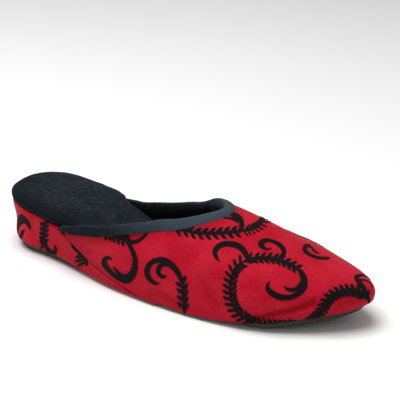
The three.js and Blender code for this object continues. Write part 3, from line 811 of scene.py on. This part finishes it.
# Each stroke is a row of (x, y, breadth) in the photograph's pixels. A vine is a stem of (x, y)
# with leaves on both sides: their length and breadth, how far apart they stand, and by how many
# degrees each side opens, from the stem's start to its end where two are given. A round scroll
# keeps its breadth on the cloth itself.
photoScrolls = {
    "spiral": {
        "strokes": [
            [(220, 262, 0.6), (216.5, 257.5, 3.6), (214.8, 252.5, 5), (217.3, 247.5, 5.4), (223, 244.3, 5.4),
             (230, 244, 5.6), (237, 245.6, 6), (243, 250, 5.6), (246.5, 255.5, 5), (248.5, 260, 4)],
            [(271.5, 248, 0.8), (267.5, 249.4, 2), (263.3, 247.6, 4), (261, 244, 6.4), (264.5, 240.6, 4.6),
             (271, 240.9, 3.2), (278, 244, 4), (283, 248.8, 4.8), (283.6, 253.5, 4.4), (280.5, 257.3, 3.6),
             (277, 259.8, 2.6)],
            [(297, 268.5, 3), (301, 272.5, 5), (303.5, 277.5, 6.4), (304.6, 283, 6.2), (303.4, 288.5, 5.4),
             (298.5, 293.6, 5.2), (290, 297.2, 5.4), (281, 297.2, 6), (273.3, 294.2, 6), (268.4, 289.8, 5.2),
             (267.6, 285.5, 3.6), (269.6, 281.2, 0.8)],
            [(303, 279, 4), (301, 284.4, 4.6), (297, 288.6, 4.4), (291.5, 290, 3.8), (286.8, 288.8, 3),
             (283.8, 286.2, 1)],
        ],
        "vines": [
            {"stem": [(299, 323.5), (290, 325.5), (280, 326), (270, 325.5), (260, 324.3), (252, 322),
                      (246, 318.6), (240, 314.3), (235.5, 309), (232.5, 303), (231, 297), (230.3, 290),
                      (230.5, 284), (231.4, 278), (233.6, 272), (237.5, 266.6), (242.5, 262.6)],
             "breadth": 3.4, "leaf": (9.6, 3.2), "apart": 5.6, "left": 54, "right": 46},
            {"stem": [(242.5, 262.6), (248, 259.8), (255, 258.6), (262, 258.2), (270, 258.5), (278, 260),
                      (285, 262.4), (291, 265.2), (297, 268.8)],
             "breadth": 3.6, "leaf": (8.4, 3.0), "apart": 5.8, "left": 42, "right": 38},
        ],
    },
    "crook": {
        "strokes": [
            [(160, 283, 0.8), (156, 283.6, 3), (151.3, 280.6, 4.4), (147.7, 275.4, 5.3), (147.3, 269.4, 5.5),
             (150.2, 263.8, 5.3), (156, 260.4, 5.2), (163, 260, 5.8), (169.6, 263.4, 6.2), (175, 268.6, 5.8),
             (179.3, 275, 5), (182, 281.5, 4), (183.2, 287, 3.4)],
            [(168, 265, 3), (162.6, 264.4, 4.4), (159.2, 267.6, 5), (158.2, 272, 4.4), (160.6, 275.7, 3.6),
             (164, 276.8, 3.4), (166.6, 275.4, 1)],
        ],
        "vines": [
            {"stem": [(184.6, 315), (184.2, 308), (183.8, 301), (183.6, 294), (183.2, 287), (182, 281)],
             "breadth": 3.4, "leaf": (9.2, 3.6), "apart": 6.4, "left": 46, "right": 30},
        ],
    },
    "arch": {
        "strokes": [
            [(126.5, 240.5, 3.5), (129.5, 245, 4), (132.6, 251, 4.4), (134.8, 257.5, 4.8),
             (135.3, 264.5, 5.6), (133.8, 271, 7), (131, 277, 7), (127.4, 280.8, 5.6),
             (121, 279.4, 4.6), (114.6, 275.4, 4.2),
             (109, 270, 4.6), (105, 264.5, 5.4), (104.8, 259.6, 5), (108.4, 257.8, 3.8), (112.4, 259.6, 1)],
            [(132, 272.5, 5), (127, 276, 4.4), (121.8, 275.2, 3.6), (117.3, 271.8, 3), (113.5, 266.6, 1)],
            [(127, 241.5, 5), (133, 242.2, 4.2), (139, 240.4, 3.6), (144.5, 236, 3), (148, 231, 2.5)],
        ],
        "vines": [
            {"stem": [(132, 240), (126, 239.5), (119, 237), (111, 234), (102, 232)],
             "breadth": 4, "leaf": (8, 3.2), "apart": 4.8, "left": 116, "right": 60},
        ],
    },
    "garland": {
        "strokes": [
            [(240.2, 231, 4.2), (241.6, 225, 5), (240.2, 219.6, 5.4), (236, 215.8, 5), (230.5, 213.6, 4.4),
             (224, 213, 2)],
            [(238, 221.6, 3.4), (231.8, 218.7, 2.6), (223, 217.8, 1)],
        ],
        "vines": [
            {"stem": [(172, 227.4), (180, 229.4), (187, 230.6), (194, 232.3), (202, 233.1), (210, 233.4),
                      (218, 233.1), (226, 232.5), (234, 231.8), (241, 231)],
             "breadth": 3.2, "leaf": (9.4, 3.3), "apart": 7.0, "left": 36, "right": 42},
            {"stem": [(241, 231), (249, 229.3), (255, 227), (260, 223.5), (264, 218.5), (266.6, 214.5)],
             "breadth": 3.6, "leaf": (8.2, 1.7), "apart": 3.5, "left": 38, "right": 56},
        ],
    },
    "toeSpray": {
        "strokes": [
            [(355.5, 276.8, 3.6), (357.4, 280.2, 6), (361, 284.6, 7), (364.3, 289.8, 6), (366.8, 295, 5),
             (368.6, 299.5, 3.6), (369.2, 303, 2)],
            [(355.8, 277, 4), (361, 275, 2.6), (366.6, 276.6, 2.2), (371, 280.6, 1.8)],
            [(358, 280.2, 3), (364, 280, 2), (369.4, 282.4, 2), (373, 287, 1.4)],
        ],
        "vines": [
            {"stem": [(368.4, 300), (365, 296), (360, 292.4), (354, 290.8), (347, 290.5), (340, 291.8),
                      (334, 294.6), (329, 298.6), (325.3, 304), (322, 310), (317.6, 316), (311.5, 321.4)],
             "breadth": 4.6, "leaf": (8.0, 3.4), "apart": 4.8, "left": (62, 46), "right": (52, 58)},
        ],
        "round": True,
    },
    "ridgeCurl": {
        "strokes": [
            [(311, 246.2, 1.2), (307.5, 245.6, 3.4), (304.6, 247.4, 4.4), (305.2, 251, 4.2),
             (309, 254.3, 3.4), (314.5, 256.8, 3), (320.5, 258.2, 3), (326, 258.4, 3),
             (329.6, 257.8, 1.5)],
            [(308, 246, 2), (311.5, 247.6, 1.8), (313.6, 250.4, 1.8), (316, 252.4, 1.6), (319, 253.4, 0.8)],
        ],
        "vines": [],
    },
}

photoHeel = {
    "heelHook": {
        "strokes": [
            [(30.4, 229.8, 1), (28.8, 225.4, 6), (26, 221.2, 9.6), (22.6, 218.8, 10.4), (19.8, 220.8, 8.6),
             (18.3, 225.5, 7), (17.8, 230.5, 5.8), (18.3, 235.5, 4), (19.8, 238.8, 1)],
            [(24.6, 230, 1), (22.8, 231.6, 4), (21.5, 234.6, 4.8), (20.6, 238, 3.4), (20.4, 240.6, 1)],
        ],
        "vines": [],
        "round": True,
    },
    "heelVine": {
        "strokes": [
            [(44.4, 239, 3), (46.2, 246, 3.6), (49.6, 251, 4.4), (53.4, 252.6, 4.4), (55.6, 249.6, 3.8),
             (54.8, 245.4, 1)],
            [(55.6, 249, 2), (56, 254.6, 1)],
        ],
        "vines": [
            {"stem": [(41, 249), (43.4, 243.6), (44, 238), (44.3, 232), (44.6, 226), (44.9, 221.6)],
             "breadth": 3.6, "leaf": (6, 3.2), "apart": 4.6, "left": 52, "right": 46},
        ],
    },
    "seamLeaf": {
        "strokes": [
            [(71.8, 243, 2.4), (74.5, 247, 4.4), (78.5, 250.5, 5.2), (82, 253.5, 5.2), (84.5, 257.5, 4.8),
             (85.8, 261.5, 4), (87.6, 266, 1.8)],
            [(82, 255.6, 2.8), (78.6, 256.2, 3.6), (75.4, 257.4, 1)],
            [(83, 259.4, 2.8), (79.2, 260.2, 3.8), (75, 262, 1)],
            [(84.6, 263, 2.4), (81, 264.2, 3.4), (77.4, 266.6, 1)],
        ],
        "vines": [],
    },
}

# Copies of these scrolls cover the sides that the photograph hides. A row takes the scroll's
# centre to a place on a drawing board, turns it by some degrees, sizes it, and mirrors it where
# its hand is -1. The board looks from an azimuth and an elevation, and is in millimetres.
hiddenColumns = ("side", "scroll", "centre", "at", "turn", "size", "hand")
hiddenOnVamp = [
    ((168, 30), "spiral", (262, 286), (-55, 4), 4, 0.42, -1),
    ((170, 12), "crook", (165, 285), (-8, -17), -10, 0.55, -1),
    ((170, 12), "arch", (122, 258), (24, -16), 12, 0.5, 1),
]
hiddenOnWedge = [
    ((190, 5), "heelVine", (48, 238), (62, -13), -6, 0.56, -1),
    ((190, 5), "arch", (120, 262), (34, -10), 24, 0.33, 1),
    ((238, 5), "crook", (168, 285), (34, -16), 14, 0.46, 1),
    ((238, 5), "heelHook", (23, 229), (-4, -17), 8, 0.8, -1),
]

flockPlan = {
    "height": 0.0003,       # of the pile over the cloth
    "sunk": 0.00006,
    "step": 0.9,            # along a stroke, in the drawing's units
    "across": 4,
    "leafCells": (8, 2),
    "perPixel": 0.00063,    # metres on the shoe to a pixel of the photograph
    "boardAway": 0.6,       # from the middle of the shoe to a drawing board
    "search": range(-140, 141, 3),   # millimetres along a ray that misses, from the shoe's middle
}


def throughLens(x, y):
    # the ray through a pixel of the photograph
    scale = shot["sensor"] / shot["lens"] / shot["pixels"]
    half = shot["pixels"] / 2
    way = shotTurn @ Vector(((x - half) * scale, (half - y) * scale, -1.0))
    return shotPlace, way.normalized()


def fromSide(azimuth, elevation):
    # a drawing board that looks at the shoe from another side, in millimetres round its middle
    way = wayTo(azimuth, elevation)
    turn = (-way).to_track_quat("-Z", "Y")
    return lambda x, y: (way * flockPlan["boardAway"] + turn @ Vector((x / 1000, -y / 1000, 0)), -way)


def moved(scroll, row):
    # a scroll drawn for the photograph, laid elsewhere in millimetres
    size, flipped = row["size"], row["hand"] < 0
    c, s = math.cos(math.radians(row["turn"])), math.sin(math.radians(row["turn"]))

    def shift(p):
        x, y = (p[0] - row["centre"][0]) * size * row["hand"], (p[1] - row["centre"][1]) * size
        return (row["at"][0] + c * x - s * y, row["at"][1] + s * x + c * y, *(v * size for v in p[2:]))

    vines = [
        {
            "stem": [shift(p) for p in vine["stem"]],
            "breadth": vine["breadth"] * size,
            "leaf": times(vine["leaf"], size),
            "apart": vine["apart"] * size,
            "left": vine["right"] if flipped else vine["left"],
            "right": vine["left"] if flipped else vine["right"],
        }
        for vine in scroll["vines"]
    ]
    return {"strokes": [[shift(p) for p in stroke] for stroke in scroll["strokes"]], "vines": vines}


def smoothLine(row, step):
    # a flowing line through the drawn points, in even steps, as an array
    row = np.array(row, float)
    ends = np.vstack([2 * row[0] - row[1], row, 2 * row[-1] - row[-2]])
    fine = []
    for i in range(1, len(ends) - 2):
        a, b, c, d = ends[i - 1:i + 3]
        for t in np.linspace(0, 1, 12, endpoint=False):
            bend = (2 * a - 5 * b + 4 * c - d) * t ** 2 + (3 * b - a - 3 * c + d) * t ** 3
            fine.append(0.5 * (2 * b + (c - a) * t + bend))
    fine = np.array(fine + [row[-1]])
    run = np.concatenate([[0], np.cumsum(np.linalg.norm(np.diff(fine[:, :2], axis=0), axis=1))])
    count = max(int(run[-1] / step), 2)
    at = np.linspace(0, run[-1], count + 1)
    return np.stack([np.interp(at, run, fine[:, k]) for k in range(fine.shape[1])], 1)


def strip(name, cells, across):
    # a flat strip, as places from 0 to 1 along it and -1 to 1 across it
    bpy.ops.mesh.primitive_grid_add(x_subdivisions=cells, y_subdivisions=across, size=2)
    piece = bpy.context.object
    piece.name = name
    return piece


def landing(board, x, y, tree):
    # where a board's ray meets the cloth, or comes nearest to it, and the cloth's outward normal
    start, way = board(x, y)
    hit, normal, _, _ = tree.ray_cast(start, way)
    if hit is None:
        tries = [tree.find_nearest(start + way * (start.length + d / 1000)) for d in flockPlan["search"]]
        hit, normal, _, _ = min(tries, key=lambda found: found[3])
    return hit, -normal if normal.dot(way) > 0 else normal


def faceOut(piece, facing):
    turned = sum((face.normal * face.area for face in piece.data.polygons), Vector())
    if turned.dot(facing) < 0:
        piece.data.flip_normals()


def layOn(piece, places, board, tree):
    # moves a strip's points down the board's rays onto the cloth
    laid = np.empty((len(places), 3))
    facing = Vector()
    for i, (x, y) in enumerate(places):
        hit, normal = landing(board, x, y, tree)
        laid[i] = hit - normal * flockPlan["sunk"]
        facing += normal
    movePoints(piece, laid)
    faceOut(piece, facing)


def cellOf(v, cells):
    # which point of a stroke a point of its strip belongs to
    return min(round((v.co.x + 1) / 2 * cells), cells)


def drawRound(row, board, tree):
    # a stroke whose breadth is kept on the cloth itself, for places that turn away from the board
    line = smoothLine(row, flockPlan["step"])
    cells = len(line) - 1
    piece = strip("round_stroke", cells, flockPlan["across"])
    landings = [landing(board, x, y, tree) for x, y in line[:, :2]]
    centres, normals = zip(*landings)
    heading = np.gradient(np.array(centres), axis=0)
    laid = np.empty((len(piece.data.vertices), 3))
    for n, v in enumerate(piece.data.vertices):
        i = cellOf(v, cells)
        side = normals[i].cross(Vector(heading[i])).normalized()
        spot = centres[i] + side * (v.co.y * line[i, 2] / 2 * flockPlan["perPixel"])
        hit, normal, _, _ = tree.find_nearest(spot)
        laid[n] = hit - (normals[i] if normal.dot(normals[i]) < 0 else normal) * flockPlan["sunk"]
    movePoints(piece, laid)
    faceOut(piece, normals[cells // 2])
    return piece


def drawStroke(row, board, tree):
    line = smoothLine(row, flockPlan["step"])
    cells = len(line) - 1
    piece = strip("stroke", cells, flockPlan["across"])
    heading = np.gradient(line[:, :2], axis=0)
    heading /= np.maximum(np.linalg.norm(heading, axis=1), 1e-9)[:, None]
    places = []
    for v in piece.data.vertices:
        i = cellOf(v, cells)
        side = v.co.y * line[i, 2] / 2
        places.append((line[i, 0] - heading[i, 1] * side, line[i, 1] + heading[i, 0] * side))
    layOn(piece, places, board, tree)
    return piece


def drawVine(vine, board, tree, leaf):
    # the stem, and leaves to its right and left in turn
    stem = [(x, y, vine["breadth"]) for x, y in vine["stem"]]
    stem[0] = (*stem[0][:2], vine["breadth"] * 0.4)
    made = [drawStroke(stem, board, tree)]
    line = smoothLine(vine["stem"], vine["apart"] / 2)
    heading = np.gradient(line, axis=0)
    long, broad = vine["leaf"]
    for i in range(1, len(line) - 1):
        side, opened = (1, vine["right"]) if i % 2 else (-1, vine["left"])
        if isinstance(opened, tuple):
            opened = opened[0] + (opened[1] - opened[0]) * i / (len(line) - 1)
        angle = math.atan2(heading[i][1], heading[i][0]) + side * math.radians(opened)
        c, s = math.cos(angle), math.sin(angle)
        piece = leaf.copy()
        piece.data = leaf.data.copy()
        scene.collection.objects.link(piece)
        places = []
        for v in leaf.data.vertices:
            x, y = v.co.x * long, v.co.y * broad / 2
            places.append((line[i][0] + c * x - s * y, line[i][1] + s * x + c * y))
        layOn(piece, places, board, tree)
        made.append(piece)
    return made


def leafShape():
    # one leaf, a unit long: round where it leaves the stem and pointed at its tip
    piece = strip("leaf", *flockPlan["leafCells"])
    for v in piece.data.vertices:
        along = (v.co.x + 1) / 2
        v.co.x = along
        v.co.y *= 0.04 + math.sin(math.pi * min(0.03 + 0.93 * along ** 1.15, 0.97)) ** 0.8
    return piece


def drawFlock(name, drawn, hidden, surface):
    # all the scrolls of one surface, joined and raised from the cloth
    scrolls = [(throughLens, scroll) for scroll in drawn.values()]
    for values in hidden:
        row = dict(zip(hiddenColumns, values))
        scrolls.append((fromSide(*row["side"]), moved(allScrolls[row["scroll"]], row)))
    tree = treeOf(surface)
    leaf = leafShape()
    made = []
    for board, scroll in scrolls:
        draw = drawRound if scroll.get("round") else drawStroke
        for row in scroll["strokes"]:
            made.append(draw(row, board, tree))
        for vine in scroll["vines"]:
            made += drawVine(vine, board, tree, leaf)
    bpy.data.objects.remove(leaf)
    pick(*made)
    bpy.ops.object.join()
    piece = bpy.context.object
    piece.name = piece.data.name = name
    bpy.ops.object.transform_apply(location=True, rotation=True, scale=True)
    modify(piece, "SOLIDIFY", thickness=flockPlan["height"] + flockPlan["sunk"], offset=1)
    pick(piece)
    bpy.ops.object.shade_smooth_by_angle(angle=math.radians(40))
    piece.data.materials.clear()
    piece.data.materials.append(flockMaterial)
    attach(piece, "root")
    print("stage:", name, len(piece.data.polygons), "faces")


allScrolls = {**photoScrolls, **photoHeel}
drawFlock("flock_vamp", photoScrolls, hiddenOnVamp, vamp)
drawFlock("flock_wedge", photoHeel, hiddenOnWedge, wedge)

# a pale floor and soft studio light

studio = {
    "world": 0.36,
    "floor": ((0.88, 0.88, 0.88), (0.93, 0.93, 0.93)),
    "floorSize": 8,
    "lampSize": 0.8,
    "lampsAt": (0, 0, 0.03),   # what the lamps point at
    "lamps": {
        "key": {"place": (-0.18, -0.2, 1.2), "energy": 15.5},
        "fill": {"place": (-0.5, -0.95, 0.45), "energy": 0.9},
    },
}

bpy.ops.mesh.primitive_plane_add(size=studio["floorSize"])
floor = bpy.context.object
floor.name = "studio_floor"
paper = Finish("pale_floor", Roughness=0.75, Specular_IOR_Level=0.2)
paper.colour(paper.mix(paper.noise(paper.place(), 0.4, 2), *studio["floor"]))
floor.data.materials.append(paper.material)

world = bpy.data.worlds.new("studio")
world.use_nodes = True
world.node_tree.nodes["Background"].inputs[0].default_value = (1, 1, 1, 1)
world.node_tree.nodes["Background"].inputs[1].default_value = studio["world"]
scene.world = world

for name, lamp in studio["lamps"].items():
    place = Vector(lamp["place"])
    way = Vector(studio["lampsAt"]) - place
    bpy.ops.object.light_add(type="AREA", location=place, rotation=way.to_track_quat("-Z", "Y").to_euler())
    light = bpy.context.object
    light.name = name
    light.data.shape = "RECTANGLE"
    light.data.size = light.data.size_y = studio["lampSize"]
    light.data.energy = lamp["energy"]
print("stage: studio lit")
